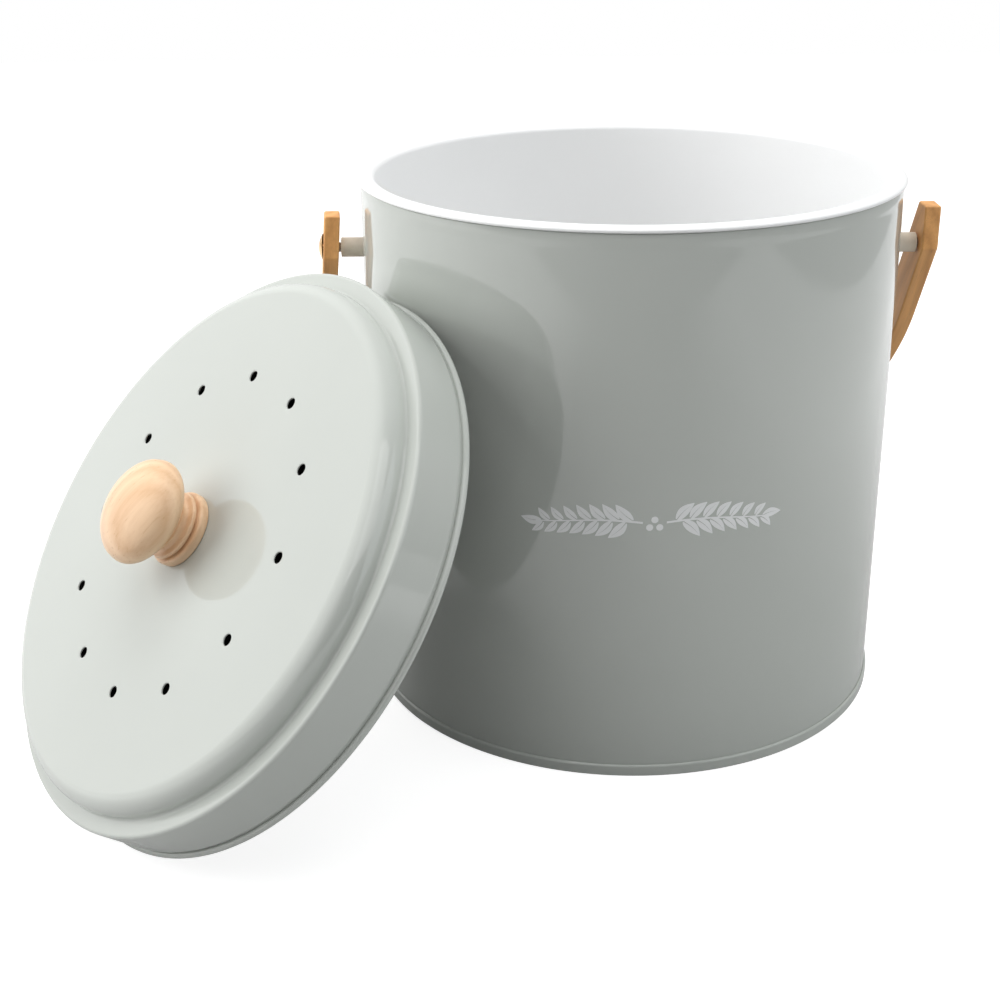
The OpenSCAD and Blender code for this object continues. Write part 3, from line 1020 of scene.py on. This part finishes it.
def floor():
    """White table under the object; it keeps the object's shadow."""
    left, right, front, back = FLOOR
    bm = bmesh.new()
    corners = ((left, front), (right, front), (right, back), (left, back))
    bm.faces.new([bm.verts.new((x / MM, y / MM, 0)) for x, y in corners])
    obj = new_object("table_top", bm)
    material = bpy.data.materials.new("table_white")
    material.use_nodes = True
    nodes = Nodes(material.node_tree)
    diffuse = nodes.add("ShaderNodeBsdfDiffuse", in_0=(*grey(FLOOR_ALBEDO), 1))
    glow = nodes.add("ShaderNodeEmission", in_0=(1, 1, 1, 1))
    rays = nodes.add("ShaderNodeLightPath").outputs
    direct = nodes.math("MAXIMUM", rays["Is Camera Ray"], rays["Is Transmission Ray"])
    direct = nodes.math("MULTIPLY", direct, FLOOR_GLOW)
    split = nodes.add("ShaderNodeSeparateXYZ")
    nodes.link(nodes.add("ShaderNodeTexCoord").outputs["Object"], split.inputs[0])
    aside = nodes.math("ABSOLUTE", split.outputs[0], 0.0)
    gloss = nodes.remap(aside, *FLOOR_GLOSS_SPAN, *FLOOR_GLOSS_GLOW)
    gloss = nodes.math("MULTIPLY", rays["Is Glossy Ray"], gloss)
    nodes.link(nodes.math("ADD", direct, gloss), glow.inputs[1])
    both = nodes.add("ShaderNodeAddShader")
    nodes.link(diffuse.outputs[0], both.inputs[0])
    nodes.link(glow.outputs[0], both.inputs[1])
    output = nodes.add("ShaderNodeOutputMaterial")
    nodes.link(both.outputs[0], output.inputs[0])
    finish(obj, material)


def world():
    """White to the camera; a studio that is bright behind and dim in front of the object.

    Glossy surfaces also see a tall white wall on the left, and a pale ground beyond the table.
    """
    scene_world = bpy.data.worlds.new("studio")
    bpy.context.scene.world = scene_world
    scene_world.use_nodes = True
    nodes = Nodes(scene_world.node_tree)
    direction = nodes.add("ShaderNodeTexCoord").outputs["Generated"]
    split = nodes.add("ShaderNodeSeparateXYZ")
    nodes.link(direction, split.inputs[0])
    behind = nodes.remap(split.outputs[1], *STUDIO_TURN, 0.0, 1.0)
    studio = nodes.mix(behind, grey(STUDIO_FRONT), grey(STUDIO_BACK))
    leftward = nodes.remap(split.outputs[0], *WALL_TURN, 0.0, 1.0)
    gloss = nodes.mix(leftward, studio, grey(WALL_GLOW))
    below = nodes.math("LESS_THAN", split.outputs[2], 0.0)
    gloss = nodes.mix(below, gloss, grey(GROUND_GLOW))
    rays = nodes.add("ShaderNodeLightPath").outputs
    seen = nodes.mix(rays["Is Glossy Ray"], studio, gloss)
    seen = nodes.mix(rays["Is Camera Ray"], seen, grey(1.0))
    background = nodes.add("ShaderNodeBackground")
    nodes.link(seen, background.inputs[0])
    output = nodes.add("ShaderNodeOutputWorld")
    nodes.link(background.outputs[0], output.inputs[0])


AIM = Vector((0, 0, 0.1))             # the point that the lights face, in metres


def softbox(name, azimuth, elevation, distance, size, radiance, glossy=True, colour=(1, 1, 1)):
    """An area light that faces the object from a direction given in degrees."""
    width, height = size
    light = bpy.data.lights.new(name, "AREA")
    light.shape = "RECTANGLE"
    light.size = width
    light.size_y = height
    light.energy = radiance * math.pi * width * height
    light.color = colour
    obj = bpy.data.objects.new(name, light)
    a, e = math.radians(azimuth), math.radians(elevation)
    away = Vector((math.cos(a) * math.cos(e), math.sin(a) * math.cos(e), math.sin(e)))
    obj.location = AIM + away * distance
    obj.rotation_mode = "QUATERNION"
    obj.rotation_quaternion = away.to_track_quat("Z", "Y")
    obj.visible_camera = False
    obj.visible_glossy = glossy
    bpy.context.scene.collection.objects.link(obj)


# The camera's place in mm and its turn in radians.
CAMERA_AT = Vector((-49.91, -653.00, 345.69))
CAMERA_YAW = -0.0077154
CAMERA_PITCH = 0.3941
CAMERA_ROLL = -0.0109421
SENSOR = 36.0
LENS = 56.673


def camera():
    """The camera in front of the bucket, a little above its rim."""
    data = bpy.data.cameras.new("camera")
    data.sensor_width = SENSOR
    data.lens = LENS
    obj = bpy.data.objects.new("camera", data)
    ahead = Vector((
        math.sin(CAMERA_YAW) * math.cos(CAMERA_PITCH),
        math.cos(CAMERA_YAW) * math.cos(CAMERA_PITCH),
        -math.sin(CAMERA_PITCH),
    ))
    side = Vector((math.cos(CAMERA_YAW), -math.sin(CAMERA_YAW), 0))
    up = side.cross(ahead)
    turned_side = side * math.cos(CAMERA_ROLL) + up * math.sin(CAMERA_ROLL)
    turned_up = up * math.cos(CAMERA_ROLL) - side * math.sin(CAMERA_ROLL)
    turn = Matrix((turned_side, turned_up, -ahead)).transposed()
    obj.matrix_world = Matrix.Translation(CAMERA_AT * MM) @ turn.to_4x4()
    bpy.context.scene.collection.objects.link(obj)
    bpy.context.scene.camera = obj


floor()
world()
softbox("key", azimuth=187, elevation=25, distance=1.7, size=(1.4, 1.4), radiance=3.4, glossy=False)
softbox("top", azimuth=80, elevation=70, distance=1.8, size=(1.8, 1.6), radiance=2.5, glossy=False)
softbox("front", azimuth=-92, elevation=60, distance=1.7, size=(1.4, 1.2), radiance=1.5)
softbox("fill", azimuth=-31, elevation=28, distance=1.6, size=(1.4, 1.4), radiance=1.12,
        colour=(0.94, 0.98, 1.0))
camera()
bpy.context.scene.view_settings.view_transform = "Standard"
